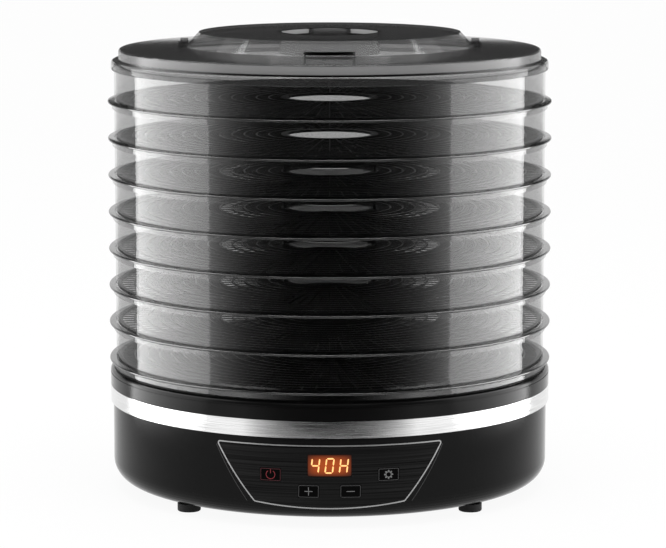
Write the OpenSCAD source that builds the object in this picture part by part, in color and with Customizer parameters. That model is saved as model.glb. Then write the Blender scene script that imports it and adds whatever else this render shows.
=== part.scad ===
// Food dehydrator: a round heater base with eight stacked see-through trays and a lid.
// Millimetres, +Z up, front towards -Y. The origin is on the table, under the centre.

/* [Trays] */
// Outer radius of a tray's wall
tray_r = 165; // [160:1:175]
// Thickness of a tray's wall
tray_wall = 1.6; // [1.2:0.1:2]
// Height from one tray to the next
tray_pitch = 28.3; // [26:0.1:32]
// How far a tray's flange stands out from its wall
flange_out = 5; // [4:0.5:7]
// Thickness of a tray's flange
flange_t = 1.8; // [1.2:0.1:2.4]
// Depth of the skirt that drops over the wall below
skirt_h = 4; // [3:0.5:6]
// Thickness of the skirt
skirt_t = 1.5; // [1:0.1:2]
// Clearance between a skirt and the wall inside it
stack_gap = 0.3; // [0.2:0.05:0.5]
// Width of the ledge that carries the floor
ledge_w = 2.5; // [2:0.1:4]
// Thickness of the ledge
ledge_t = 1; // [0.8:0.1:1.6]

/* [Tray floors] */
// Thickness of a floor grille
floor_t = 2; // [1.6:0.1:3]
// Radius of the air hole in the middle of a floor
hole_r = 33; // [28:0.5:34]
// Width of the rim round the air hole
hub_rim = 4.4; // [4:0.2:5.4]
// Number of rings between the hub and the edge
floor_rings = 8; // [6:1:9]
// Number of spokes
floor_spokes = 24; // [18:2:30]
// Width of a ring
ring_w = 1.6; // [1.2:0.1:2]
// Width of a spoke
spoke_w = 1.4; // [1.2:0.1:2]
// Width of the outer rim of a floor
edge_rim = 3.2; // [3:0.1:4]

/* [Air ducts] */
// Outer radius of the duct that stands round the air hole
duct_r = 37; // [36:0.2:38]
// Thickness of the duct's wall
duct_wall = 1.8; // [1.4:0.1:2.2]
// Gap between the top of a duct and the tray above it
duct_gap = 5; // [3:0.1:8]
// Height of the legs that hold a duct above its floor
duct_leg_h = 5.7; // [4:0.1:8]
// Width of a leg
duct_leg_w = 3; // [2:0.1:4]
// Radius that rounds the top of a duct
duct_round = 1.5; // [0.5:0.1:1.5]
// Number of the highest tray that has a duct
first_duct = 3; // [3]

/* [Lid] */
// Radius of the lid's upper wall
lid_r = 161.5; // [156:0.5:162]
// Thickness of the lid
lid_t = 2; // [1.6:0.1:2.4]
// Depth of the lid's skirt below its seat
lid_skirt = 3; // [2:0.5:6]
// Height of the shoulder above the seat
lid_shoulder = 4; // [3:0.5:6]
// Height of the flat outer ring above the seat
lid_flat_h = 12.5; // [10:0.1:16]
// How much the flat ring rises towards the cone
lid_slope = 2; // [1:0.2:3]
// Rise of the cone and the disc above the flat ring
lid_rise = 10.3; // [8:0.1:12]
// Radius of the foot of the cone
cone_r = 110; // [100:1:120]
// Radius of the raised disc
disc_r = 100; // [85:1:100]
// Radius of the finger well in the disc
well_r = 37; // [32:0.5:42]
// Depth of the finger well
well_h = 13; // [10:0.5:16]
// Width of the grip across the well
grip_w = 32; // [24:1:36]
// Height of the grip
grip_h = 9; // [6:0.5:9.5]
// Width of a vent slot at the foot of the cone
vent_w = 36; // [24:1:44]
// Height of a vent slot
vent_h = 2.4; // [1.6:0.2:3]
// Thickness of the rib at each end of a vent slot
vent_rib = 1.5; // [1:0.1:2]
// Number of vent slots
vents = 4; // [2:1:6]

/* [Base] */
// How far the steel band and the collar stand out from the trays' wall
collar_out = 4.5; // [4:0.1:4.9]
// How far the housing's side lies inside the band
housing_step = 1.9; // [1.4:0.1:2.5]
// Thickness of the housing's wall
housing_wall = 2.7; // [2:0.1:3.2]
// Height of the feet
foot_h = 6; // [5:0.5:8]
// Radius of a foot
foot_r = 8.7; // [7:0.1:10]
// Distance from the housing's side to the middle of a foot
foot_inset = 19.1; // [18:0.1:22]
// Radius that rounds the bottom edge of the housing
bottom_round = 16; // [10:1:16]
// Height of the housing below the steel band
housing_h = 61.6; // [58:0.1:66]
// Height of the steel band
band_h = 12.5; // [10:0.1:16]
// Thickness of the band's sheet
band_t = 1; // [0.8:0.1:1.4]
// Height of the collar above the band
collar_h = 13.6; // [12:0.1:18]
// Height of the neck that carries the bottom tray
neck_h = 5.4; // [5:0.1:8]
// Thickness of the deck
deck_t = 2.4; // [2:0.1:3]
// Radius of the air outlet in the deck
outlet_r = 46; // [42:1:50]
// Height of the rim round the air outlet
outlet_h = 8; // [6:0.5:10]
// Distance from the housing's side to the bottom cover
cover_inset = 30.6; // [30:0.2:36]
// Thickness of the bottom cover
cover_t = 2.7; // [2:0.1:3.5]
// Number of rows of intake slots
intake_rows = 5; // [3:1:6]

/* [Front panel] */
// Height of the panel's top edge above the housing's bottom
panel_top = 55.3; // [52:0.1:58]
// Height of the panel's lower corners above the housing's bottom
panel_low = 13.8; // [10:0.1:15]
// Half of the width of the panel at its top edge
panel_top_w = 81.5; // [78:0.5:86]
// Half of the width of the panel at its lower corners
panel_low_w = 54.5; // [50:0.5:60]
// How far the panel's lower edge bows down
panel_bow = 3.8; // [2:0.2:5]
// How far each side of the panel bows out
panel_side_bow = 1.5; // [0.8:0.1:2.5]
// Radius of the panel's corners
panel_corner = 1; // [0.5:0.5:5]
// Width of the bright trim round the panel
trim_w = 1; // [0.8:0.1:2]
// Thickness of the panel
panel_t = 0.8; // [0.6:0.1:1]
// How far the trim stands proud of the panel
trim_proud = 0.3; // [0.1:0.1:0.6]
// Width of the display window
display_w = 31.6; // [26:0.2:36]
// Height of the display window
display_h = 15.6; // [12:0.2:18]
// Height of the display's centre above the housing's bottom
display_z = 41.2; // [38:0.2:43]
// Width of a key
key_w = 15; // [12:0.2:16]
// Height of a key
key_h = 9.3; // [8:0.1:10]
// Distance of the two outer keys from the middle
key_out_x = 43; // [40:0.5:46]
// Height of the outer keys above the housing's bottom
key_out_z = 33.7; // [30:0.1:35]
// Distance of the two inner keys from the middle
key_in_x = 15.3; // [12:0.1:18]
// Height of the inner keys above the housing's bottom
key_in_z = 22.1; // [18:0.1:23]
// Travel of a key
key_travel = 0.6; // [0.4:0.1:1]
// Clearance round a key and round the display
key_gap = 0.3; // [0.2:0.05:0.5]
// Thickness of the flange that keeps a key in its window
key_flange = 1; // [0.8:0.1:1.4]

/* [Fan and heater] */
// Radius of the motor
motor_r = 30; // [26:1:34]
// Height of the motor
motor_h = 24; // [20:1:28]
// Radius of the motor shaft
shaft_r = 2.5; // [2:0.1:3]
// Radial clearance of the shaft in its bushes
shaft_gap = 0.05; // [0.02:0.01:0.1]
// Radius of the fan's blade tips
fan_r = 48; // [42:1:50]
// Radius of the fan's hub
hub_r = 14; // [12:1:18]
// Height of the fan's hub
hub_h = 14; // [12:1:18]
// Number of blades
blades = 7; // [5:1:9]
// Pitch of the blades in degrees
blade_pitch = 32; // [24:1:38]
// Radial clearance between the fan and its shroud
fan_gap = 3; // [2:0.5:5]
// Radius of the heater's wire coil
coil_r = 2.4; // [1.8:0.1:2.8]
// Number of rings of heater coil
coil_rings = 3; // [2:1:3]

/* [Hidden] */
$fn = 96;
eps = 0.01;
trays = 8;
seat_gap = 0.05;       // between pieces that are fixed to each other on a curved face
duct_spread = 16;      // angle of a duct's legs from the X axis

// Levels, from the table up
floor_z = foot_h;                       // underside of the housing
ledge_z = floor_z + housing_h;          // underside of the steel band
rim_z = ledge_z + band_h;               // top of the band, underside of the collar
shoulder_z = rim_z + collar_h;          // top of the collar
seat_z = shoulder_z + neck_h;           // where the bottom tray sits
lid_z = seat_z + trays * tray_pitch;    // where the lid sits
lid_top = lid_flat_h + lid_slope + lid_rise;
cover_in = floor_z + cover_t;           // inner face of the bottom cover

// Casing
collar_r = tray_r + collar_out;         // outside of the band and the collar
housing_r = collar_r - housing_step;
housing_in = housing_r - housing_wall;
band_hook = 0.7;                        // how far the band's lips reach in over the housing
band_in = housing_r - band_hook;
step_r = band_in - stack_gap;           // the housing's step inside the band
spigot_r = housing_in - stack_gap;      // the deck's spigot inside the housing
spigot_t = 1.8;
spigot_h = 7;
deck_z = rim_z + 6.7;                   // top of the deck
under_deck = deck_z - deck_t;
neck_in = tray_r - 3;
collar_round = min(3, collar_out - 0.5);
groove = 0.5;                           // half of the height and the depth of the collar's groove
groove_z = shoulder_z - collar_round - 1.2 * groove;
cover_r = housing_r - cover_inset;
lip_in = cover_r + stack_gap;           // the housing's lip that the cover is screwed to
lip_w = 9;
lip_t = 2.4;
plug_r = 3;                             // the foot's plug
plug_h = 7;

// Posts that join the housing and the deck
post_turn = 27;                         // turns them clear of the feet and the board
post_inset = 12;
post_r = 5;
post_top = ledge_z - 10;
post_web = 3;                           // what the screw's head pulls against

// Fan drive
pillar_h = 9;                           // pillars of the motor bracket
pillar_at = motor_r + 10;
bracket_t = 2;
bracket_z = cover_in + pillar_h;
motor_z = bracket_z + bracket_t;
motor_boss = 2;
motor_top = motor_z + motor_h + motor_boss;
fan_z = motor_top + 3;
shaft_top = fan_z + hub_h + 2;
bush_r = 5.5;
bush_h = 6;
blade_t = 1.6;

// Heater
shroud_r = fan_r + fan_gap;
shroud_t = 2;
shroud_z = fan_z - 0.7;
coil_z = fan_z + hub_h + 10;
coil_in = 20;                           // radius of the inner ring of coil
coil_step = 12;
mica_t = 1;

// Screws
screw_r = 1.5;
head_r = 2.8;
head_h = 1.8;
pilot_gap = 0.05;
hole_gap = 0.2;
deck_screw = 14;
cover_screw = 4;
motor_screw_at = motor_r - 8;

// Front panel
recess_r = housing_r - panel_t + 0.1;   // floor of the shallow recess in the housing
board_y = housing_in - 16.9;            // back of the control board, in front of the axis
board_t = 1.6;
board_w = 2 * key_out_x + key_w + 15;
board_edge = 5;                         // from the board's edge to its screws
board_low = floor_z + 13;
board_high = floor_z + 55;
switch_h = 5;
switch_body = 3.5;

// Mains side
power_w = 72;
power_d = 52;
power_y = 88;
power_h = 8;                            // height of the power board's pillars
gland_r = 6;
gland_lip = 2.5;
gland_bore = 3.8;
gland_z = floor_z + 30;
key_spots = [[-key_out_x, key_out_z], [key_out_x, key_out_z], [-key_in_x, key_in_z], [key_in_x, key_in_z]];

function polar(r, a) = [r * cos(a), r * sin(a)];
function arc(c, r, a0, a1, n = 6) = [for (i = [0:n]) c + polar(r, a0 + (a1 - a0) * i / n)];
function tray_z(k) = seat_z + (trays - k) * tray_pitch;

module tube(r_out, r_in, h) {
  difference() {
    cylinder(r = r_out, h = h);
    translate([0, 0, -1]) cylinder(r = r_in, h = h + 2);
  }
}

module annulus(r_out, r_in) {
  difference() {
    circle(r = r_out);
    circle(r = r_in);
  }
}

// Draws its children n times round the axis.
module around(n, start = 0) {
  for (i = [0:n - 1]) rotate([0, 0, start + i * 360 / n]) children();
}

// A screw that points up, with the underside of its head at z = 0.
module screw(length) {
  translate([0, 0, -head_h]) cylinder(r = head_r, h = head_h);
  translate([0, 0, -eps]) cylinder(r = screw_r, h = length + eps);
}

// ---- Trays ----

module tray_ring() {
  in_r = tray_r - tray_wall;
  skirt_in = tray_r + stack_gap;
  skirt_out = skirt_in + skirt_t;
  edge = flange_t / 2;
  color([0.25, 0.25, 0.27, 0.5])
    rotate_extrude()
      polygon(concat(
        [[in_r - ledge_w, 0], [skirt_in, 0], [skirt_in, -skirt_h], [skirt_out, -skirt_h], [skirt_out, 0]],
        arc([tray_r + flange_out - edge, edge], edge, -90, 90),
        [[tray_r, flange_t], [tray_r, tray_pitch], [in_r, tray_pitch]],
        [[in_r, ledge_t], [in_r - ledge_w, ledge_t]]
      ));
}

module tray_floor() {
  out_r = tray_r - tray_wall - seat_gap;
  hub = hole_r + hub_rim;
  step = (out_r - edge_rim - hub) / floor_rings;
  color([0.22, 0.22, 0.24, 0.6])
    translate([0, 0, ledge_t])
      linear_extrude(floor_t) {
        annulus(hub, hole_r);
        annulus(out_r, out_r - edge_rim);
        for (i = [1:floor_rings - 1]) annulus(hub + i * step + ring_w / 2, hub + i * step - ring_w / 2);
        around(floor_spokes)
          translate([hub - 1, -spoke_w / 2]) square([out_r - hub, spoke_w]);
      }
}

// A short duct on four legs: air leaves under it and over it.
module tray_duct() {
  foot = ledge_t + floor_t;
  low = foot + duct_leg_h;
  top = tray_pitch - duct_gap;
  color([0.04, 0.04, 0.045]) {
    rotate_extrude()
      polygon(concat(
        [[duct_r - duct_wall, low], [duct_r, low]],
        arc([duct_r - duct_round, top - duct_round], duct_round, 0, 90),
        [[duct_r - duct_wall, top]]
      ));
    translate([0, 0, foot])
      intersection() {
        tube(duct_r, duct_r - duct_wall, duct_leg_h + eps);
        for (side = [0, 180])
          for (a = [-duct_spread, duct_spread])
            rotate([0, 0, side + a]) translate([0, -duct_leg_w / 2, 0]) cube([duct_r, duct_leg_w, duct_leg_h + 1]);
      }
  }
}

// ---- Lid ----

module lid_shell() {
  skirt_in = tray_r + stack_gap;
  skirt_out = skirt_in + lid_t;
  bead = lid_t / 2;
  low = -lid_skirt;
  flat = lid_flat_h;
  foot = lid_flat_h + lid_slope;
  color([0.3, 0.3, 0.31, 0.6])
    difference() {
      union() {
        rotate_extrude()
          polygon(concat(
            [[skirt_in, low]],
            arc([skirt_out - bead, low + bead], bead, -90, 0, 4),
            arc([skirt_out - lid_t, lid_shoulder - lid_t], lid_t, 0, 90, 4),
            [[lid_r, lid_shoulder]],
            arc([lid_r - lid_t, flat - lid_t], lid_t, 0, 90, 4),
            [[cone_r, foot], [disc_r, lid_top], [well_r, lid_top]],
            [[well_r, lid_top - well_h + lid_t], [0, lid_top - well_h + lid_t], [0, lid_top - well_h]],
            [[well_r + lid_t, lid_top - well_h], [well_r + lid_t, lid_top - lid_t]],
            [[disc_r - bead, lid_top - lid_t], [cone_r - bead, foot - lid_t], [lid_r - lid_t, flat - lid_t]],
            [[lid_r - lid_t, 0], [skirt_in, 0]]
          ));
        around(vents)
          for (side = [-1, 1])
            translate([side * vent_w / 2 - vent_rib / 2, -cone_r - 5, foot - 1]) cube([vent_rib, 6, 5]);
      }
      around(vents)
        translate([vent_rib / 2 - vent_w / 2, -cone_r - 1, foot + 0.6]) cube([vent_w - vent_rib, 12, vent_h]);
    }
}

// A bar across the finger well, lying front to back, with a shallow step at each end.
module lid_grip() {
  top = lid_top - 0.4;
  low = top - grip_h;
  reach = well_r - seat_gap;
  color([0.3, 0.3, 0.31, 0.7])
    difference() {
      intersection() {
        translate([-grip_w / 2, -well_r, low]) cube([grip_w, 2 * well_r, grip_h]);
        translate([0, 0, low - 1]) cylinder(r = reach, h = grip_h + 2);
      }
      for (side = [-1, 1])
        translate([3 - grip_w / 2, side * well_r - 4, top - 2]) cube([grip_w - 6, 8, 3]);
      translate([lid_t - grip_w / 2, 6 - well_r, low - 1]) cube([grip_w - 2 * lid_t, 2 * well_r - 12, grip_h - 1]);
    }
}

// ---- Base casing ----

module panel_outline(grow = 0) {
  high = floor_z + panel_top;
  low = floor_z + panel_low;
  lean = panel_top_w - panel_low_w;
  rise = panel_top - panel_low;
  side = norm([lean, rise]) / 2;
  side_r = (side * side + panel_side_bow * panel_side_bow) / (2 * panel_side_bow);
  bow_r = (panel_low_w * panel_low_w + panel_bow * panel_bow) / (2 * panel_bow);
  across = [rise, -lean] / (2 * side);
  middle = [(panel_top_w + panel_low_w) / 2, (high + low) / 2];
  centre = middle - (side_r - panel_side_bow) * across;
  offset(r = panel_corner + grow, $fn = 32)
    offset(delta = -panel_corner)
      intersection() {
        translate([-panel_top_w * 2, low - 10]) square([panel_top_w * 4, high - low + 10]);
        translate([0, low - panel_bow + bow_r]) circle(r = bow_r, $fn = 360);
        translate(centre) circle(r = side_r, $fn = 360);
        mirror([1, 0]) translate(centre) circle(r = side_r, $fn = 360);
      }
}

// Cuts a shape drawn in X and Z through the front wall only.
module through_front() {
  translate([0, -board_y + 10, 0]) rotate([90, 0, 0]) linear_extrude(40) children();
}

module rounded_window(w, h, r = 1) {
  square([w - 2 * r, h], center = true);
  square([w, h - 2 * r], center = true);
  for (x = [-1, 1])
    for (y = [-1, 1])
      translate([x * (w / 2 - r), y * (h / 2 - r)]) circle(r = r);
}

module front_windows(gap) {
  translate([0, floor_z + display_z]) rounded_window(display_w + 2 * gap, display_h + 2 * gap);
  for (p = key_spots)
    translate([p[0], floor_z + p[1]]) rounded_window(key_w + 2 * gap, key_h + 2 * gap);
}

module at_boards() {
  for (x = [-1, 1])
    for (z = [board_low + board_edge, board_high - board_edge])
      translate([x * (board_w / 2 - board_edge), -board_y, z]) children();
}

module at_posts() {
  around(4, post_turn) translate([spigot_r - post_inset, 0, 0]) children();
}

module at_cover_screws() {
  around(6, 15) translate([lip_in - lip_w / 2, 0, 0]) children();
}

module base_housing() {
  low = floor_z;
  color([0.05, 0.05, 0.055])
    difference() {
      union() {
        rotate_extrude()
          polygon(concat(
            [[lip_in, low]],
            arc([housing_r - bottom_round, low + bottom_round], bottom_round, -90, 0, 10),
            [[housing_r, ledge_z], [step_r, ledge_z], [step_r, rim_z], [housing_in, rim_z]],
            arc([housing_r - bottom_round, low + bottom_round], bottom_round - housing_wall, 0, -90, 8),
            [[lip_in - lip_w, cover_in + lip_t], [lip_in - lip_w, cover_in], [lip_in, cover_in]]
          ));
        at_posts() translate([0, 0, low + 2]) cylinder(r = post_r, h = post_top - low - 2);
        intersection() {
          at_boards() rotate([90, 0, 0]) cylinder(r = 3, h = 30);
          translate([0, 0, low]) cylinder(r = housing_in + 1, h = housing_h);
        }
      }
      at_posts() cylinder(r = head_r + hole_gap, h = post_top - post_web);
      at_posts() cylinder(r = screw_r + hole_gap, h = post_top + 1);
      at_boards() rotate([90, 0, 0]) cylinder(r = screw_r + pilot_gap, h = 8);
      at_cover_screws() cylinder(r = screw_r + pilot_gap, h = low + 8);
      difference() {
        through_front() panel_outline(trim_w);
        cylinder(r = recess_r - seat_gap, h = ledge_z);
      }
      through_front() front_windows(key_gap);
      translate([0, housing_in - 5, gland_z]) rotate([-90, 0, 0]) cylinder(r = gland_r + seat_gap, h = 12);
      at_feet() cylinder(r = plug_r + seat_gap, h = low + plug_h + 2);
    }
}

module intake_pattern() {
  for (i = [1:intake_rows]) {
    mid_r = motor_r + 14 + i * 12;
    around(8)
      intersection() {
        annulus(mid_r + 2, mid_r - 2);
        rotate(-14) square(2 * cover_r);
        rotate(14 - 90) square(2 * cover_r);
      }
  }
}

module bottom_cover() {
  color([0.06, 0.06, 0.065])
    difference() {
      union() {
        translate([0, 0, floor_z]) cylinder(r = cover_r, h = cover_t);
        around(4, 45) translate([pillar_at, 0, cover_in - eps]) cylinder(r = 4, h = pillar_h + eps);
        at_power() translate([0, 0, cover_in - eps]) cylinder(r = 3, h = power_h + eps);
      }
      translate([0, 0, floor_z - 1]) linear_extrude(cover_t + 2) intake_pattern();
      at_cover_screws() {
        cylinder(r = screw_r + hole_gap, h = cover_in + 1);
        cylinder(r = head_r + hole_gap, h = floor_z + head_h);
      }
      around(4, 45) translate([pillar_at, 0, cover_in + 1]) cylinder(r = screw_r + pilot_gap, h = pillar_h);
    }
}

module at_feet() {
  around(4, 45) translate([housing_r - foot_inset, 0, 0]) children();
}

module feet() {
  color([0.08, 0.08, 0.08])
    at_feet() {
      rotate_extrude()
        polygon(concat([[0, 0]], arc([foot_r - 1, 1], 1, -90, 0, 4), [[foot_r, foot_h], [0, foot_h]]));
      translate([0, 0, foot_h - eps]) cylinder(r = plug_r, h = plug_h);
    }
}

module steel_band() {
  color([0.78, 0.78, 0.78])
    translate([0, 0, ledge_z])
      rotate_extrude()
        polygon([
          [band_in, 0], [collar_r, 0], [collar_r, band_h], [band_in, band_h],
          [band_in, band_h - band_t], [collar_r - band_t, band_h - band_t],
          [collar_r - band_t, band_t], [band_in, band_t]
        ]);
}

module top_deck() {
  color([0.05, 0.05, 0.055])
    difference() {
      union() {
        rotate_extrude()
          polygon(concat(
            [[spigot_r, rim_z], [collar_r, rim_z], [collar_r, groove_z - groove]],
            [[collar_r - groove, groove_z - groove], [collar_r - groove, groove_z + groove]],
            [[collar_r, groove_z + groove]],
            arc([collar_r - collar_round, shoulder_z - collar_round], collar_round, 0, 90),
            [[tray_r, shoulder_z], [tray_r, seat_z], [neck_in, seat_z], [neck_in, deck_z]],
            [[outlet_r + 2, deck_z], [outlet_r + 2, deck_z + outlet_h], [outlet_r, deck_z + outlet_h]],
            [[outlet_r, under_deck], [spigot_r - spigot_t, under_deck]],
            [[spigot_r - spigot_t, rim_z - spigot_h], [spigot_r, rim_z - spigot_h]]
          ));
        at_posts() translate([0, 0, post_top]) cylinder(r = post_r, h = under_deck - post_top + eps);
      }
      at_posts() cylinder(r = screw_r + pilot_gap, h = post_top + deck_screw);
    }
}

// The guard over the air outlet.
module air_grille() {
  r = outlet_r - stack_gap;
  color([0.07, 0.07, 0.075])
    translate([0, 0, deck_z + outlet_h - 3]) {
      linear_extrude(2) {
        for (i = [0:4]) annulus(r - i * 9, r - i * 9 - 1.8);
        around(8) translate([6, -1]) square([r - 7, 2]);
        circle(r = 8);
      }
      around(4, 22.5) translate([r - 1.8, -4, -6]) intersection() {
        cube([1.8, 8, 6 + eps]);
        translate([1.8 - r, 4, -1]) cylinder(r = r, h = 10);
      }
    }
}

// ---- Fan and heater ----

module fan_shroud() {
  slot = mica_t + 2 * stack_gap;
  color([0.75, 0.75, 0.73])
    difference() {
      union() {
        translate([0, 0, shroud_z]) tube(shroud_r + shroud_t, shroud_r, under_deck - shroud_z);
        translate([0, 0, under_deck - 2]) tube(shroud_r + 12, shroud_r, 2);
      }
      for (a = [0, 90])
        rotate([0, 0, a]) translate([-shroud_r - 4, -slot / 2, coil_z - 8]) cube([2 * shroud_r + 8, slot, 40]);
    }
}

// Two mica plates that cross in the shroud and hold the rings of heater wire.
module heater_frame() {
  reach = shroud_r + shroud_t - 0.2;
  low = coil_z - 7.5;
  high = under_deck - 0.4;
  color([0.8, 0.76, 0.62])
    difference() {
      for (a = [0, 90])
        rotate([0, 0, a])
          translate([-reach, -mica_t / 2, low]) cube([2 * reach, mica_t, high - low]);
      translate([0, 0, coil_z]) coil_turns(coil_r + hole_gap);
    }
}

module coil_turns(r) {
  for (i = [0:coil_rings - 1])
    rotate_extrude() translate([coil_in + i * coil_step, 0]) circle(r = r, $fn = 32);
}

module heater_coil() {
  color([0.55, 0.5, 0.45]) translate([0, 0, coil_z]) coil_turns(coil_r);
}

module thermal_cutout() {
  color([0.7, 0.68, 0.6])
    translate([shroud_r + 22, 0, under_deck - 5]) {
      cylinder(r = 8, h = 5);
      for (side = [-1, 1]) translate([side * 4, -1.5, -7]) cube([0.8, 3, 7 + eps]);
    }
}

module motor_bracket() {
  color([0.7, 0.7, 0.7])
    translate([0, 0, bracket_z])
      difference() {
        union() {
          cylinder(r = motor_r, h = bracket_t);
          around(4, 45) {
            translate([0, -6, 0]) cube([pillar_at, 12, bracket_t]);
            translate([pillar_at, 0, 0]) cylinder(r = 6, h = bracket_t);
          }
        }
        translate([0, 0, -1]) cylinder(r = 8, h = bracket_t + 2);
        around(4, 45) translate([pillar_at, 0, -1]) cylinder(r = screw_r + hole_gap, h = bracket_t + 2);
        around(4) translate([motor_screw_at, 0, -1]) cylinder(r = screw_r + hole_gap, h = bracket_t + 2);
      }
}

module motor_body() {
  cap = 5;
  color([0.35, 0.35, 0.37])
    difference() {
      union() {
        translate([0, 0, motor_z]) cylinder(r = motor_r, h = cap);
        translate([0, 0, motor_z + cap - eps]) cylinder(r = motor_r - 2, h = motor_h - 2 * cap + 2 * eps);
        translate([0, 0, motor_z + motor_h - cap]) cylinder(r = motor_r, h = cap);
        translate([0, 0, motor_z + motor_h - eps]) cylinder(r = 9, h = motor_boss + eps);
      }
      translate([0, 0, motor_z - 1]) cylinder(r = bush_r + seat_gap, h = bush_h + 1);
      translate([0, 0, motor_top - bush_h]) cylinder(r = bush_r + seat_gap, h = bush_h + 1);
      translate([0, 0, motor_z]) cylinder(r = shaft_r + 1, h = motor_h + 3);
      around(4) translate([motor_screw_at, 0, motor_z - 1]) cylinder(r = screw_r + pilot_gap, h = cap + 1);
    }
}

module shaft_bushes() {
  color([0.75, 0.6, 0.3])
    for (z = [motor_z, motor_top - bush_h])
      translate([0, 0, z]) tube(bush_r, shaft_r + shaft_gap, bush_h);
}

module motor_shaft() {
  color([0.8, 0.8, 0.82])
    translate([0, 0, motor_z - 1]) cylinder(r = shaft_r, h = shaft_top - motor_z + 1);
}

module fan_impeller() {
  mid = fan_z + hub_h / 2;
  color([0.12, 0.12, 0.13])
    difference() {
      union() {
        translate([0, 0, fan_z]) cylinder(r = hub_r, h = hub_h);
        intersection() {
          around(blades)
            translate([hub_r - 3, 0, mid]) rotate([blade_pitch, 0, 0])
              translate([0, -12, -blade_t / 2]) cube([fan_r, 24, blade_t]);
          translate([0, 0, fan_z - 2]) cylinder(r = fan_r, h = hub_h + 4);
        }
      }
      translate([0, 0, fan_z - 3]) cylinder(r = shaft_r, h = hub_h + 6);
    }
}

// ---- Electronics ----

module at_power() {
  for (x = [-1, 1])
    for (y = [-1, 1])
      translate([x * (power_w / 2 - 6), power_y + y * (power_d / 2 - 6), 0]) children();
}

module power_board() {
  z = cover_in + power_h;
  top = z + board_t - eps;
  left = 6 - power_w / 2;
  front = power_y + 6 - power_d / 2;
  color([0.1, 0.35, 0.18])
    translate([-power_w / 2, power_y - power_d / 2, z]) cube([power_w, power_d, board_t]);
  color([0.15, 0.2, 0.5]) {
    translate([left, front, top]) cube([20, 16, 15]);
    translate([-left - 22, front, top]) cube([22, 22, 18]);
  }
  color([0.1, 0.1, 0.1]) {
    translate([left + 14, front + 34, top]) cylinder(r = 6, h = 20);
    translate([left + 32, front + 34, top]) cylinder(r = 5, h = 14);
  }
}

module control_board() {
  color([0.1, 0.4, 0.2])
    difference() {
      translate([-board_w / 2, -board_y, board_low]) cube([board_w, board_t, board_high - board_low]);
      at_boards()
        rotate([90, 0, 0]) translate([0, 0, -board_t - 1]) cylinder(r = screw_r + hole_gap, h = board_t + 2);
    }
}

module display_module() {
  depth = sqrt(housing_in * housing_in - display_w * display_w / 4) - board_y - 0.5;
  color([0.1, 0.1, 0.1])
    translate([-display_w / 2 - 1, -board_y - depth, floor_z + display_z - display_h / 2 - 1])
      cube([display_w + 2, depth, display_h + 2]);
}

module display_lens() {
  color([0.02, 0.02, 0.02])
    intersection() {
      through_front() translate([0, floor_z + display_z]) rounded_window(display_w, display_h);
      translate([0, 0, floor_z]) tube(recess_r + panel_t - 0.1, housing_in + 0.2, housing_h);
    }
}

module panel_fascia() {
  color([0.14, 0.14, 0.15])
    intersection() {
      difference() {
        through_front() panel_outline();
        through_front() front_windows(key_gap);
      }
      translate([0, 0, floor_z]) tube(recess_r + panel_t, recess_r, housing_h);
    }
}

module panel_trim() {
  color([0.85, 0.85, 0.86])
    intersection() {
      difference() {
        through_front() panel_outline(trim_w - seat_gap);
        through_front() panel_outline(seat_gap);
      }
      translate([0, 0, floor_z]) tube(recess_r + panel_t + trim_proud, recess_r, housing_h);
    }
}

// A key: a curved cap in the window, a retaining flange behind the wall and a stem to the switch.
module key(spot) {
  z = floor_z + spot[1];
  back_r = housing_in - key_gap;
  reach = board_y + switch_h + key_travel + 0.1;
  color([0.1, 0.1, 0.11]) {
    intersection() {
      through_front() translate([spot[0], z]) rounded_window(key_w, key_h);
      translate([0, 0, floor_z]) tube(recess_r + panel_t, back_r - key_flange / 2, housing_h);
    }
    intersection() {
      through_front() translate([spot[0], z]) square([key_w + 2, key_h + 2], center = true);
      translate([0, 0, floor_z]) tube(back_r, back_r - key_flange, housing_h);
    }
    intersection() {
      translate([spot[0] - 2, -back_r, z - 2]) cube([4, back_r - reach, 4]);
      translate([0, 0, floor_z]) cylinder(r = back_r - key_flange / 2, h = housing_h);
    }
  }
}

module key_power() { key(key_spots[0]); }
module key_settings() { key(key_spots[1]); }
module key_plus() { key(key_spots[2]); }
module key_minus() { key(key_spots[3]); }

module key_switches() {
  for (p = key_spots)
    translate([p[0], -board_y, floor_z + p[1]]) {
      color([0.2, 0.2, 0.2]) translate([-3, -switch_body, -3]) cube([6, switch_body, 6]);
      color([0.7, 0.2, 0.1])
        translate([0, eps - switch_body, 0]) rotate([90, 0, 0]) cylinder(r = 1.75, h = switch_h - switch_body);
    }
}

// ---- Rear ----

module cord_gland() {
  color([0.07, 0.07, 0.07])
    translate([0, 0, gland_z])
      rotate([-90, 0, 0])
        translate([0, 0, housing_in - 2])
          difference() {
            union() {
              cylinder(r = gland_r, h = housing_wall + 4);
              cylinder(r = gland_r + gland_lip, h = 1.4);
              translate([0, 0, housing_wall + 2.1]) cylinder(r = gland_r + gland_lip, h = 1.9);
            }
            translate([0, 0, -1]) cylinder(r = gland_bore, h = 12);
          }
}

// ---- Screws ----

module cover_screws() {
  color("silver") at_cover_screws() translate([0, 0, floor_z + head_h]) screw(cover_screw);
}

module deck_screws() {
  color("silver") at_posts() translate([0, 0, post_top - post_web]) screw(deck_screw);
}

module motor_screws() {
  color("silver") {
    around(4) translate([motor_screw_at, 0, bracket_z]) screw(5);
    around(4, 45) translate([pillar_at, 0, motor_z]) mirror([0, 0, 1]) screw(8);
  }
}

module board_screws() {
  color("silver") at_boards() translate([0, board_t, 0]) rotate([90, 0, 0]) screw(7);
}

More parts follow.
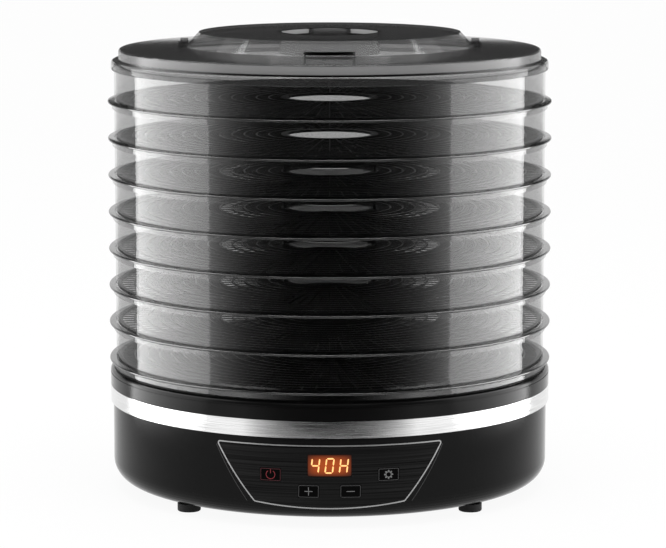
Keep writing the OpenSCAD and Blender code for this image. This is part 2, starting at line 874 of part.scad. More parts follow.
base_housing();
bottom_cover();
feet();
steel_band();
top_deck();
air_grille();
fan_shroud();
heater_frame();
heater_coil();
thermal_cutout();
motor_bracket();
motor_body();
shaft_bushes();
motor_shaft();
fan_impeller();
control_board();
display_module();
display_lens();
panel_fascia();
panel_trim();
key_power();
key_settings();
key_plus();
key_minus();
key_switches();
power_board();
cord_gland();
cover_screws();
deck_screws();
motor_screws();
board_screws();
for (k = [1:trays])
  translate([0, 0, tray_z(k)]) tray_ring();
for (k = [1:trays])
  translate([0, 0, tray_z(k)]) tray_floor();
for (k = [first_duct:trays])
  translate([0, 0, tray_z(k)]) tray_duct();
translate([0, 0, lid_z]) lid_shell();
translate([0, 0, lid_z]) lid_grip();
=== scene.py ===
import math

import bmesh
import bpy
import numpy as np
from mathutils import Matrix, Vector


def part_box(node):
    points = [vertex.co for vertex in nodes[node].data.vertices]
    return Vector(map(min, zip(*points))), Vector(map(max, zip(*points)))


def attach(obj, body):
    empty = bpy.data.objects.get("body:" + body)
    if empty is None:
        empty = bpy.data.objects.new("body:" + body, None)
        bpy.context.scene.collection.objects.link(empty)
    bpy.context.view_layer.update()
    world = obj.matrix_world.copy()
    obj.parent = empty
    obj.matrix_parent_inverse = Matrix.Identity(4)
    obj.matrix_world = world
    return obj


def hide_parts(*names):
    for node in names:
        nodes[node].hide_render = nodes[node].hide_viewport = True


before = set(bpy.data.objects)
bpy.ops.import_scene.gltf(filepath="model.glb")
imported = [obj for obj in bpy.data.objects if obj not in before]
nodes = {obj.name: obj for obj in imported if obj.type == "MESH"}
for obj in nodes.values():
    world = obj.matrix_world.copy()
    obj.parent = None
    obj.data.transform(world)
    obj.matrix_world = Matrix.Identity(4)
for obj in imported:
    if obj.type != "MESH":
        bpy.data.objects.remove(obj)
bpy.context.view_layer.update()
mm = 0.001
print("frame:", len(nodes), "nodes")

# Camera.

shot = {
    "distance": 2.4,  # from the axis, towards -Y
    "height": 0.5242,
    "aimHeight": 0.1628,
    "aside": 0.0025,
    "lens": 169.7,
    "sensor": 36.0,
    "near": 0.1,
    "far": 60.0,
}


def makeCamera():
    data = bpy.data.cameras.new("camera")
    data.lens = shot["lens"]
    data.sensor_width = shot["sensor"]
    data.clip_start = shot["near"]
    data.clip_end = shot["far"]
    camera = bpy.data.objects.new("camera", data)
    bpy.context.scene.collection.objects.link(camera)
    place = Vector((shot["aside"], -shot["distance"], shot["height"]))
    aim = Vector((shot["aside"], 0.0, shot["aimHeight"]))
    camera.location = place
    camera.rotation_mode = "QUATERNION"
    camera.rotation_quaternion = (aim - place).to_track_quat("-Z", "Y")
    bpy.context.scene.camera = camera


makeCamera()
print("camera: lens", shot["lens"])

# Node helpers.


def startMaterial(name):
    material = bpy.data.materials.new(name)
    material.use_nodes = True
    tree = material.node_tree
    return material, tree, tree.nodes["Principled BSDF"]


# A socket gets a plain value, or a link from another node's output.
def feed(tree, socket, term):
    if isinstance(term, bpy.types.NodeSocket):
        tree.links.new(term, socket)
    else:
        socket.default_value = term


# Inputs are given by the names of their sockets.
def addNode(tree, kind, **inputs):
    node = tree.nodes.new(kind)
    for name, term in inputs.items():
        feed(tree, node.inputs[name], term)
    return node


def addMath(tree, operation, *terms):
    node = tree.nodes.new("ShaderNodeMath")
    node.operation = operation
    for socket, term in zip(node.inputs, terms):
        feed(tree, socket, term)
    return node.outputs[0]


def objectPlace(tree):
    return addNode(tree, "ShaderNodeTexCoord").outputs["Object"]


noiseRange = (0.3, 0.7)  # nearly all of the noise lies between these


# Noise on the object's own place, stretched along some axes, spread between two values.
def spreadNoise(tree, scale, low, high, stretch=(1, 1, 1), detail=3.0):
    place = addNode(tree, "ShaderNodeMapping", Vector=objectPlace(tree), Scale=stretch)
    noise = addNode(tree, "ShaderNodeTexNoise", Vector=place.outputs[0], Scale=scale, Detail=detail)
    spread = addNode(tree, "ShaderNodeMapRange", Value=noise.outputs[0])
    ends = (*noiseRange, low, high)
    for socket, value in zip(("From Min", "From Max", "To Min", "To Max"), ends):
        spread.inputs[socket].default_value = value
    return spread.outputs[0]


def blendColours(tree, factor, first, second):
    mix = tree.nodes.new("ShaderNodeMix")
    mix.data_type = "RGBA"
    for socket, term in ((0, factor), (6, first), (7, second)):
        feed(tree, mix.inputs[socket], term)
    return mix.outputs[2]


def addBump(tree, shader, height, strength, depth):
    bump = addNode(tree, "ShaderNodeBump", Strength=strength, Distance=depth, Height=height)
    tree.links.new(bump.outputs[0], shader.inputs["Normal"])


def grey(value):
    return (value, value, value, 1)


# Tone * (1 - drift) to tone * (1 + drift), by noise.
def driftingTone(tree, tone, look):
    low, high = (grey(tone * (1 + side * look["toneDrift"])) for side in (-1, 1))
    return blendColours(tree, spreadNoise(tree, look["toneGrain"], 0, 1), low, high)


# Shine * (1 - drift) to shine * (1 + drift), by noise.
def driftingGloss(tree, shine, look):
    low, high = (shine * (1 + side * look["glossDrift"]) for side in (-1, 1))
    return spreadNoise(tree, look["glossGrain"], low, high)


# Finishes.

# Grains are in waves for each metre, and drifts are shares either way.
mouldedLook = {
    "toneGrain": 18,
    "toneDrift": 0.15,
    "glossGrain": 25,
    "sparkGrain": 2500,
    "sparkStrength": 0.6,
    "sparkDepth": 0.02 * mm,
}


# Moulded plastic: a fine spark texture, a slow drift of gloss and a little unevenness of tone.
def mouldedPlastic(name, tone, shine, drift=0.05, level=0.5):
    material, tree, shader = startMaterial(name)
    tree.links.new(driftingTone(tree, tone, mouldedLook), shader.inputs["Base Color"])
    gloss = spreadNoise(tree, mouldedLook["glossGrain"], shine - drift, shine + drift)
    tree.links.new(gloss, shader.inputs["Roughness"])
    spark = spreadNoise(tree, mouldedLook["sparkGrain"], 0, 1)
    addBump(tree, shader, spark, mouldedLook["sparkStrength"], mouldedLook["sparkDepth"])
    shader.inputs["Specular IOR Level"].default_value = level
    return material


smokedLook = {
    "toneGrain": 12,
    "toneDrift": 0.2,
    "glossGrain": 20,
    "glossDrift": 0.3,
    "swellGrain": 60,
    "swellStrength": 0.15,
    "swellDepth": 0.1 * mm,
}


# Smoked clear plastic: partly see-through, so its index is high to keep a whole sheet's gloss.
def smokedPlastic(name, tone, shine, see, index, level=0.5):
    material, tree, shader = startMaterial(name)
    tree.links.new(driftingTone(tree, tone, smokedLook), shader.inputs["Base Color"])
    tree.links.new(driftingGloss(tree, shine, smokedLook), shader.inputs["Roughness"])
    swell = spreadNoise(tree, smokedLook["swellGrain"], 0, 1)
    addBump(tree, shader, swell, smokedLook["swellStrength"], smokedLook["swellDepth"])
    shader.inputs["Alpha"].default_value = see
    shader.inputs["IOR"].default_value = index
    shader.inputs["Specular IOR Level"].default_value = level
    return material


webLook = {
    "topSlope": 0.7,  # a face is a top when its normal rises more than this
    "litTopGrain": 90,
    "litTopLeast": 0.7,
}


# Rings of a floor: smoked as the rest, with their tops painted paler in patches, as painted light
# caught on them.
def webPlastic(name, tone, litTopTone, shine, see, level):
    material, tree, shader = startMaterial(name)
    facing = addNode(tree, "ShaderNodeTexCoord").outputs["Normal"]
    upwards = addNode(tree, "ShaderNodeSeparateXYZ", Vector=facing).outputs[2]
    # Painted light: faces that look up get a paler colour, patchy by noise.
    isTop = addMath(tree, "GREATER_THAN", upwards, webLook["topSlope"])
    litTops = spreadNoise(tree, webLook["litTopGrain"], webLook["litTopLeast"], 1.0)
    litTops = addMath(tree, "MULTIPLY", isTop, litTops)
    colour = blendColours(tree, litTops, grey(tone), grey(litTopTone))
    tree.links.new(colour, shader.inputs["Base Color"])
    tree.links.new(driftingGloss(tree, shine, smokedLook), shader.inputs["Roughness"])
    shader.inputs["Alpha"].default_value = see
    shader.inputs["Specular IOR Level"].default_value = level
    return material


brushedLook = {
    "detail": 4.0,
    "glossRise": 0.08,
    "scratchStrength": 0.25,
    "scratchDepth": 0.02 * mm,
}


# Brushed metal: long scratches round the band, as noise drawn out in X and Y and tight in Z.
def brushedMetal(
    name, tone, shine, along=30, across=2500, metallic=1.0, spread=(0.8, 1.15), level=0.5
):
    material, tree, shader = startMaterial(name)
    stretch = (along, along, across)
    scratches = spreadNoise(tree, 1.0, 0, 1, stretch=stretch, detail=brushedLook["detail"])
    low, high = (grey(tone * share) for share in spread)
    colour = blendColours(tree, scratches, low, high)
    tree.links.new(colour, shader.inputs["Base Color"])
    rough = addMath(tree, "MULTIPLY_ADD", scratches, brushedLook["glossRise"], shine)
    tree.links.new(rough, shader.inputs["Roughness"])
    addBump(tree, shader, scratches, brushedLook["scratchStrength"], brushedLook["scratchDepth"])
    shader.inputs["Metallic"].default_value = metallic
    shader.inputs["Specular IOR Level"].default_value = level
    return material


metalLook = {
    "spotGrain": 400,
    "spotTone": 0.85,
    "glossGrain": 120,
    "glossSteps": (-0.06, 0.08),
}
solidLook = {
    "spotGrain": 1 / (0.6 * mm),
    "spotTone": 0.8,
    "glossGrain": 200,
    "glossSteps": (-0.05, 0.05),
}


# A coloured solid with fine darker spots and a gloss that goes a step down and a step up.
def spottedSolid(name, colour, shine, look):
    material, tree, shader = startMaterial(name)
    spots = spreadNoise(tree, look["spotGrain"], 0, 1)
    darker = [part * look["spotTone"] for part in colour[:3]] + [1]
    tree.links.new(blendColours(tree, spots, darker, colour), shader.inputs["Base Color"])
    low, high = (shine + step for step in look["glossSteps"])
    tree.links.new(spreadNoise(tree, look["glossGrain"], low, high), shader.inputs["Roughness"])
    return material


# Bare metal.
def plainMetal(name, colour, shine):
    material = spottedSolid(name, colour, shine, metalLook)
    material.node_tree.nodes["Principled BSDF"].inputs["Metallic"].default_value = 1.0
    return material


# Mica, ceramic and circuit boards.
def tintedSolid(name, colour, shine):
    return spottedSolid(name, colour, shine, solidLook)


signLook = {"inkGrain": 2500, "inkLeast": 0.85, "shine": 0.5}


# A printed or lit sign: its own colour, a little of it as light.
def litSign(name, colour, strength):
    material, tree, shader = startMaterial(name)
    spots = spreadNoise(tree, signLook["inkGrain"], signLook["inkLeast"], 1.0)
    ink = blendColours(tree, spots, (0, 0, 0, 1), colour)
    tree.links.new(ink, shader.inputs["Base Color"])
    tree.links.new(ink, shader.inputs["Emission Color"])
    shader.inputs["Emission Strength"].default_value = strength
    shader.inputs["Roughness"].default_value = signLook["shine"]
    return material


# The window over the display: black gloss, with light that fades from its middle to its edges.
windowLook = {
    "tone": 0.006,
    "level": 0.1,
    "shine": (0.05, 0.12),
    "glossGrain": 40,
    "glow": (0.4, 0.062, 0.006, 1),
    "strength": 1.0,
    "halfWide": 17.3 * mm,
    "halfTall": 8.4 * mm,
    "acrossPower": 3.5,  # the higher, the later the glow fades
    "upPower": 2.5,
}


def displayWindow(name, node):
    material, tree, shader = startMaterial(name)
    low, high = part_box(node)
    middle = (low + high) / 2
    place = addNode(tree, "ShaderNodeSeparateXYZ", Vector=objectPlace(tree))

    # One less the distance from the middle, in half widths, to a power.
    def fade(output, centre, half, power):
        away = addMath(tree, "DIVIDE", addMath(tree, "SUBTRACT", output, centre), half)
        away = addMath(tree, "MINIMUM", addMath(tree, "ABSOLUTE", away), 1.0)
        return addMath(tree, "SUBTRACT", 1.0, addMath(tree, "POWER", away, power))

    across = fade(place.outputs[0], middle.x, windowLook["halfWide"], windowLook["acrossPower"])
    up = fade(place.outputs[2], middle.z, windowLook["halfTall"], windowLook["upPower"])
    fall = addMath(tree, "MULTIPLY", across, up)
    glow = blendColours(tree, fall, (0, 0, 0, 1), windowLook["glow"])
    tree.links.new(glow, shader.inputs["Emission Color"])
    shader.inputs["Emission Strength"].default_value = windowLook["strength"]
    gloss = spreadNoise(tree, windowLook["glossGrain"], *windowLook["shine"])
    tree.links.new(gloss, shader.inputs["Roughness"])
    shader.inputs["Base Color"].default_value = grey(windowLook["tone"])
    shader.inputs["Specular IOR Level"].default_value = windowLook["level"]
    return material


# Lid plastic: dark where it lies flat, clearer in its walls and cone, with painted light and shade:
# a light band on one wall, a paler cone, a black finger well with a bright highlight ring, and dark
# bands where flats end.
lidLook = {
    "tone": 0.04,
    "shine": 0.1,
    "shineLeast": 0.08,
    "glossGrain": 20,
    "flatSee": 0.96,
    "wallSee": 0.45,
    # A band of the skirt wall is painted light, standing in for light that comes through the lid;
    # it is also rougher and clearer.
    "litBandTone": 0.24,
    "litBandShine": 0.25,
    "litBandSee": 0.7,
    "litBandFrom": 20.8 * mm,  # below the lid's top
    "litBandTo": 12.3 * mm,
    "wellRadius": 39.4 * mm,  # inside it the finger well is painted black and opaque, as painted shade
    "wellShadeTone": 0.004,
    "wellShadeSee": 1.0,
    "highlightTone": 0.6,  # of a painted highlight ring round the inside of the well's wall
    "highlightRadius": 38 * mm,
    "highlightFrom": 3.8 * mm,  # below the lid's top
    "highlightTo": 0.5 * mm,
    # The cone is painted paler than the rest of the lid, as a painted reflection of the lamp above.
    "coneSheenTone": 0.1,
    "coneSee": 0.4,
    "flatSlope": 0.9,  # a face is flat when its normal rises more than this
    "wallSlope": 0.3,  # and a wall when it rises less than this
    "edges": ((12.5 * mm, 10.2 * mm), (21.3 * mm, 19.7 * mm)),  # painted shade: dark opaque bands where flats end
    "shadeBandTone": 0.006,
    "shadeBandSee": 1.0,
    "level": 0.45,
}


def lidPlastic(name, node):
    material, tree, shader = startMaterial(name)
    low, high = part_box(node)
    place = addNode(tree, "ShaderNodeSeparateXYZ", Vector=objectPlace(tree)).outputs
    facing = addNode(tree, "ShaderNodeTexCoord").outputs["Normal"]
    slope = addNode(tree, "ShaderNodeSeparateXYZ", Vector=facing).outputs[2]
    slope = addMath(tree, "ABSOLUTE", slope)
    isFlat = addMath(tree, "GREATER_THAN", slope, lidLook["flatSlope"])
    isWall = addMath(tree, "LESS_THAN", slope, lidLook["wallSlope"])
    isCone = addMath(tree, "SUBTRACT", addMath(tree, "SUBTRACT", 1.0, isFlat), isWall)

    # One on walls between two depths below the lid's top, else zero.
    def wallBand(start, end):
        above = addMath(tree, "GREATER_THAN", place[2], high.z - start)
        below = addMath(tree, "LESS_THAN", place[2], high.z - end)
        return addMath(tree, "MULTIPLY", isWall, addMath(tree, "MULTIPLY", above, below))

    # Painted light: the band on the skirt wall.
    litBand = wallBand(lidLook["litBandFrom"], lidLook["litBandTo"])
    # reach = square root of (x * x + y * y)
    squares = [addMath(tree, "POWER", place[axis], 2.0) for axis in (0, 1)]
    reach = addMath(tree, "SQRT", addMath(tree, "ADD", *squares))
    inShadedWell = addMath(tree, "LESS_THAN", reach, lidLook["wellRadius"])
    inHighlight = addMath(tree, "LESS_THAN", reach, lidLook["highlightRadius"])
    colour = blendColours(tree, litBand, grey(lidLook["tone"]), grey(lidLook["litBandTone"]))
    # Painted reflection: the paler cone.
    colour = blendColours(tree, isCone, colour, grey(lidLook["coneSheenTone"]))
    # Painted shade: the finger well is black and opaque.
    colour = blendColours(tree, inShadedWell, colour, grey(lidLook["wellShadeTone"]))
    # Painted highlight: a bright ring high on the inside of the well's wall.
    rimHighlight = addMath(tree, "MULTIPLY", inHighlight, wallBand(lidLook["highlightFrom"], lidLook["highlightTo"]))
    colour = blendColours(tree, rimHighlight, colour, grey(lidLook["highlightTone"]))
    # Painted shade: dark opaque bands on the walls where the flats end.
    edge = addMath(tree, "ADD", *(wallBand(start, end) for start, end in lidLook["edges"]))
    colour = blendColours(tree, edge, colour, grey(lidLook["shadeBandTone"]))
    tree.links.new(colour, shader.inputs["Base Color"])
    shine = lidLook["shine"]
    plain = spreadNoise(tree, lidLook["glossGrain"], lidLook["shineLeast"], shine)
    rough = addMath(tree, "MULTIPLY_ADD", litBand, lidLook["litBandShine"] - shine, plain)
    tree.links.new(rough, shader.inputs["Roughness"])
    see = lidLook["wallSee"]
    clear = addMath(tree, "MULTIPLY_ADD", isFlat, lidLook["flatSee"] - see, see)
    clear = addMath(tree, "MULTIPLY_ADD", isCone, lidLook["coneSee"] - see, clear)
    clear = addMath(tree, "MULTIPLY_ADD", litBand, lidLook["litBandSee"] - see, clear)
    clear = addMath(tree, "MAXIMUM", clear, addMath(tree, "MULTIPLY", inShadedWell, lidLook["wellShadeSee"]))
    clear = addMath(tree, "MAXIMUM", clear, addMath(tree, "MULTIPLY", edge, lidLook["shadeBandSee"]))
    tree.links.new(clear, shader.inputs["Alpha"])
    shader.inputs["Specular IOR Level"].default_value = lidLook["level"]
    return material


finishes = {
    "housing": mouldedPlastic("black_gloss", tone=0.004, shine=0.08, drift=0.02, level=0.1),
    "deck": mouldedPlastic("black_deck", tone=0.004, shine=0.08, drift=0.02, level=0.12),
    "cover": mouldedPlastic("black_satin", tone=0.02, shine=0.5),
    "rubber": mouldedPlastic("black_rubber", tone=0.015, shine=0.75, level=0.3),
    "band": brushedMetal("brushed_steel", tone=0.72, shine=0.1),
    "sheet": plainMetal("sheet_metal", colour=(0.7, 0.7, 0.68, 1), shine=0.4),
    "steel": plainMetal("bright_steel", colour=(0.75, 0.75, 0.76, 1), shine=0.25),
    "bronze": plainMetal("bronze", colour=(0.6, 0.42, 0.2, 1), shine=0.35),
    "wire": plainMetal("heater_wire", colour=(0.42, 0.38, 0.33, 1), shine=0.5),
    "mica": tintedSolid("mica", colour=(0.55, 0.47, 0.33, 1), shine=0.4),
    "ceramic": tintedSolid("ceramic", colour=(0.7, 0.68, 0.6, 1), shine=0.5),
    "motor": plainMetal("motor_case", colour=(0.35, 0.35, 0.37, 1), shine=0.45),
    "board": tintedSolid("circuit_board", colour=(0.02, 0.12, 0.05, 1), shine=0.4),
    "wall": smokedPlastic("smoked_wall", tone=0.006, shine=0.03, see=0.27, index=2.6),
    # The flange is made nearly opaque, as painted shade for the dark line of its rim.
    "flange": smokedPlastic("smoked_flange_painted_shade", tone=0.006, shine=0.08, see=0.85, index=1.9),
    "grille": smokedPlastic("smoked_grille", tone=0.006, shine=0.3, see=0.9, index=1.5, level=0.04),
    "web": webPlastic("smoked_web", tone=0.006, litTopTone=0.34, shine=0.3, see=0.9, level=0.04),
    "collar": smokedPlastic("smoked_collar", tone=0.006, shine=0.15, see=0.6, index=1.5),
    "duct": mouldedPlastic("black_duct", tone=0.006, shine=0.5, level=0.2),
    "lid": lidPlastic("smoked_lid", "lid_shell"),
    "grip": smokedPlastic("smoked_grip", tone=0.02, shine=0.1, see=0.5, index=1.8),
    "fascia": brushedMetal(
        "brushed_black", tone=0.006, shine=0.35, along=6, across=900,
        metallic=0.6, spread=(0.1, 3.5), level=0.12,
    ),
    "trim": brushedMetal("bright_trim", tone=0.4, shine=0.25, along=60, across=1500),
    "lens": displayWindow("display_window", "display_lens"),
    "key": mouldedPlastic("black_key", tone=0.002, shine=0.25, level=0.02),
    "signGrey": litSign("sign_grey", colour=(0.14, 0.14, 0.14, 1), strength=0.25),
    "lineGrey": litSign("line_grey", colour=(0.05, 0.05, 0.05, 1), strength=0.2),
    "signRed": litSign("sign_red", colour=(0.13, 0.004, 0.008, 1), strength=0.7),
    "lineRed": litSign("line_red", colour=(0.05, 0.003, 0.006, 1), strength=0.5),
    "digits": litSign("digit_light", colour=(1.0, 0.50, 0.17, 1), strength=0.95),
    # Glows a little; it draws the painted line at the edge of the panel's recess.
    "faintLine": litSign("painted_edge_line", colour=(0.03, 0.03, 0.03, 1), strength=0.3),
}

finishOf = {
    "base_housing": "housing",
    "bottom_cover": "cover",
    "feet": "rubber",
    "steel_band": "band",
    "top_deck": "deck",
    "air_grille": "cover",
    "fan_shroud": "sheet",
    "heater_frame": "mica",
    "heater_coil": "wire",
    "thermal_cutout": "ceramic",
    "motor_bracket": "sheet",
    "motor_body": "motor",
    "shaft_bushes": "bronze",
    "motor_shaft": "steel",
    "fan_impeller": "cover",
    "control_board": "board",
    "display_module": "cover",
    "display_lens": "lens",
    "panel_fascia": "fascia",
    "panel_trim": "trim",
    "key_power": "key",
    "key_settings": "key",
    "key_plus": "key",
    "key_minus": "key",
    "key_switches": "cover",
    "power_board": "board",
    "cord_gland": "rubber",
    "cover_screws": "steel",
    "deck_screws": "steel",
    "motor_screws": "steel",
    "board_screws": "steel",
    "lid_shell": "lid",
    "lid_grip": "grip",
}


def finishFor(node):
    if node.endswith("_ring"):
        return "wall"
    if node.endswith("_floor"):
        return "grille"
    if node.endswith("_duct"):
        return "duct"
    return finishOf[node]


for name, piece in nodes.items():
    piece.data.materials.clear()
    piece.data.materials.append(finishes[finishFor(name)])
print("finishes:", len(finishes), "on", len(nodes), "nodes")

# Making pieces.

smoothAngle = math.radians(35)  # edges sharper than this stay sharp


def turnOutwards(mesh):
    shell = bmesh.new()
    shell.from_mesh(mesh)
    bmesh.ops.recalc_face_normals(shell, faces=shell.faces)
    shell.to_mesh(mesh)
    shell.free()


def addPiece(name, points, faces, finish, body, slot):
    mesh = bpy.data.meshes.new(name)
    mesh.from_pydata(points.tolist(), [], faces.tolist())
    turnOutwards(mesh)
    mesh.shade_smooth()
    mesh.set_sharp_from_angle(angle=smoothAngle)
    piece = bpy.data.objects.new(name, mesh)
    bpy.context.scene.collection.objects.link(piece)
    mesh.materials.append(finishes[finish])
    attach(piece, body)
    return piece


# Joins several (points, faces) pairs of four-sided faces into one.
def joinShapes(shapes):
    points = np.concatenate([shape[0] for shape in shapes])
    starts = np.cumsum([0] + [len(shape[0]) for shape in shapes[:-1]])
    faces = np.concatenate([shape[1] + start for shape, start in zip(shapes, starts)])
    return points, faces


# Faces of a bar whose sections have k corners each, n sections, numbered section by section.
def barFaces(n, k, closed):
    rows = n if closed else n - 1
    i, j = np.meshgrid(np.arange(rows), np.arange(k), indexing="ij")
    following = (i + 1) % n
    around = (j + 1) % k
    here, ahead = i * k, following * k
    faces = np.stack([here + j, here + around, ahead + around, ahead + j], -1).reshape(-1, 4)
    if closed:
        return faces
    ends = np.array([[3, 2, 1, 0], np.arange(4) + (n - 1) * k])
    return np.concatenate([faces, ends])


# A closed profile turned once round the axis: corner (i, j) is radius_j along angle i, at height_j.
def revolve(profile, steps):
    turn = np.linspace(0, 2 * np.pi, steps, endpoint=False)[:, None]
    radius, height = np.asarray(profile).T
    x = radius * np.cos(turn)
    y = radius * np.sin(turn)
    points = np.stack([x, y, np.broadcast_to(height, x.shape)], -1).reshape(-1, 3)
    return points, barFaces(steps, len(radius), True)


# Tray floors.

# A floor is a hub, an edge, evenly spaced rings between them, and thin spokes,
# twice as many outside one of the rings as inside it.
grille = {
    "hole": 33 * mm,
    "hubWidth": 4.4 * mm,
    "edgeWidth": 3.2 * mm,
    "rings": 12,
    "ringWidth": 1.3 * mm,
    "ringDepth": 1.4 * mm,
    "steps": 144,
    "innerSpokes": 48,
    "outerSpokes": 96,
    "splitRing": 4,  # ring where the outer spokes begin
    "spokeWidth": 0.9 * mm,
    "spokeDepth": 1.0 * mm,
    "collarWidth": 2.0 * mm,  # of the low collar round the hole, on the trays that carry a duct
    "collarHeight": 4.8 * mm,
    "ringDrop": 0.2 * mm,  # of the rings' tops under the hub's
    "spokeDrop": 0.1 * mm,  # and of the spokes' under the rings'
    "overlap": 1 * mm,  # of spokes into hub and edge
}


# A flat ring of a floor, with a square section.
def ringBar(inner, outer, bottom, top):
    section = [(inner, bottom), (outer, bottom), (outer, top), (inner, top)]
    return revolve(section, grille["steps"])


# Every spoke is a box from one radius to another, turned by its own angle.
def spokeBars(count, start, end, bottom, top):
    half = grille["spokeWidth"] / 2
    along = np.array([start] * 4 + [end] * 4)
    across = np.array([-half, half, half, -half] * 2)
    height = np.array([bottom, bottom, top, top] * 2)
    turn = np.arange(count)[:, None] * 2 * np.pi / count
    x = along * np.cos(turn) - across * np.sin(turn)
    y = along * np.sin(turn) + across * np.cos(turn)
    points = np.stack([x, y, np.broadcast_to(height, x.shape)], -1).reshape(-1, 3)
    sides = [[0, 1, 5, 4], [1, 2, 6, 5], [2, 3, 7, 6], [3, 0, 4, 7]]
    box = np.array(sides + [[3, 2, 1, 0], [4, 5, 6, 7]])
    faces = (box[None] + 8 * np.arange(count)[:, None, None]).reshape(-1, 4)
    return points, faces


def makeGrille(number):
    node = f"tray_{number}_floor"
    low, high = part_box(node)
    bottom, top, rim = low.z, high.z, high.x
    hub = grille["hole"] + grille["hubWidth"]
    edge = rim - grille["edgeWidth"]
    radii = np.linspace(hub, edge, grille["rings"] + 2)[1:-1]
    wide = grille["ringWidth"] / 2
    ringTop = top - grille["ringDrop"]
    plain = [ringBar(grille["hole"], hub, bottom, top), ringBar(edge, rim, bottom, top)]
    web = [ringBar(r - wide, r + wide, ringTop - grille["ringDepth"], ringTop) for r in radii]
    split = radii[grille["splitRing"]]
    spokeTop = ringTop - grille["spokeDrop"]
    under = spokeTop - grille["spokeDepth"]
    over = grille["overlap"]
    plain.append(spokeBars(grille["innerSpokes"], hub - over, split, under, spokeTop))
    plain.append(spokeBars(grille["outerSpokes"], split, edge + over, under, spokeTop))
    body, slot = f"tray_{number}", "floor_plastic"
    piece = addPiece(f"tray_{number}_spokes", *joinShapes(plain), "grille", body, slot)
    addPiece(f"tray_{number}_web", *joinShapes(web), "web", body, slot)
    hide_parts(node)
    if f"tray_{number}_duct" in nodes:
        hole = grille["hole"]
        collar = ringBar(hole, hole + grille["collarWidth"], top, top + grille["collarHeight"])
        addPiece(f"tray_{number}_collar", *collar, "collar", body, slot)


trayNumbers = sorted(int(name.split("_")[1]) for name in nodes if name.endswith("_floor"))
for number in trayNumbers:
    makeGrille(number)
print("tray floors:", len(trayNumbers))

# Tray rings.

# A ring is a clear wall with a ledge inside its foot and a skirt under it,
# and a flange with a round edge, made darker and nearly opaque as painted shade for the dark line
# its rim shows.
ring = {
    "wall": 1.6 * mm,
    "wallRadius": 165 * mm,
    "flange": 1.8 * mm,
    "ledgeWidth": 2.5 * mm,
    "ledge": 1.0 * mm,
    "skirt": 4.0 * mm,
    "skirtThick": 1.5 * mm,
    "gap": 0.3 * mm,
    "bond": 0.2 * mm,  # thickness of the clear plastic under the flange
    "beadSteps": 9,
    "steps": 240,
}


def makeRing(number):
    node = f"tray_{number}_ring"
    low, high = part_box(node)
    outside, top = high.x, high.z
    seat = low.z + ring["skirt"]
    wallOut = ring["wallRadius"]
    wallIn = wallOut - ring["wall"]
    ledgeIn = wallIn - ring["ledgeWidth"]
    skirtIn = wallOut + ring["gap"]
    skirtOut = skirtIn + ring["skirtThick"]
    # The bead is a half circle: its middle + edge * (cos turn, sin turn).
    edge = ring["flange"] / 2
    turn = np.linspace(-np.pi / 2, np.pi / 2, ring["beadSteps"])
    bead = np.stack([outside - edge + edge * np.cos(turn), seat + edge + edge * np.sin(turn)], -1)
    bond = seat + ring["bond"]
    ledgeTop = seat + ring["ledge"]
    wall = [(ledgeIn, seat), (skirtIn, seat), (skirtIn, low.z), (skirtOut, low.z)]
    wall += [(skirtOut, bond), (wallOut, bond), (wallOut, top), (wallIn, top)]
    wall += [(wallIn, ledgeTop), (ledgeIn, ledgeTop)]
    plate = [(wallOut, bond), (skirtOut, bond), (skirtOut, seat)]
    plate += [tuple(spot) for spot in bead] + [(wallOut, seat + ring["flange"])]
    body, slot = f"tray_{number}", "smoked_plastic"
    shell = addPiece(f"tray_{number}_wall", *revolve(wall, ring["steps"]), "wall", body, slot)
    addPiece(f"tray_{number}_flange", *revolve(plate, ring["steps"]), "flange", body, slot)
    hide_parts(node)


for number in trayNumbers:
    makeRing(number)
print("tray rings:", len(trayNumbers))

# The finger well's skirt.

wellSkirt = {
    "outer": 39.0 * mm,
    "inner": 37.2 * mm,
    "from": 12.8 * mm,  # below the lid's top, just inside the well's floor
    "depth": 3.6 * mm,
    "steps": 96,
}


# A short wall that goes on down from the well, so that no light shows under it; it lies inside the
# well's radius, so it takes the well's painted black shade.
def makeWellSkirt():
    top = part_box("lid_shell")[1].z - wellSkirt["from"]
    low = top - wellSkirt["depth"]
    outer, inner = wellSkirt["outer"], wellSkirt["inner"]
    section = [(outer, low), (outer, top), (inner, top), (inner, low)]
    skirt = revolve(section, wellSkirt["steps"])
    addPiece("lid_well_skirt", *skirt, "lid", "lid", "lid_plastic")


makeWellSkirt()
print("lid: well skirt")

# Signs on the panel.

frontRadius = -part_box("panel_fascia")[0].y
signs = {
    "proud": 0.03 * mm,  # how far a mark stands out from what it is on
    "depth": 0.1 * mm,
    "outlineWidth": 0.35 * mm,
    "outlineCorner": 0.8 * mm,
    "outlineInset": 0.35 * mm,
    "cornerSteps": 5,
    "flangeInset": 1 * mm,  # of a key's cap from its hidden flange
    "strokeWidth": 0.5 * mm,
    "fineStep": 1 * mm,  # longest straight stretch of an outline
}


# A flat bar along a path in X and Z, laid on the cylinder of the panel: y = -sqrt(radius^2 - x^2).
def surfaceBar(path, width, closed=False, radius=frontRadius):
    path = np.asarray(path, float)
    width = np.broadcast_to(width, len(path))[:, None] / 2
    if closed:
        along = np.roll(path, -1, 0) - np.roll(path, 1, 0)
    else:
        along = np.gradient(path, axis=0)
    along = along / np.linalg.norm(along, axis=1, keepdims=True)
    side = np.stack([-along[:, 1], along[:, 0]], -1) * width
    front = radius + signs["proud"]
    back = front - signs["depth"]
    x, z = np.moveaxis(np.stack([path - side, path + side, path + side, path - side], 1), -1, 0)
    y = -np.sqrt(np.array([front, front, back, back]) ** 2 - x**2)
    points = np.stack([x, y, z], -1).reshape(-1, 3)
    return points, barFaces(len(path), 4, closed)


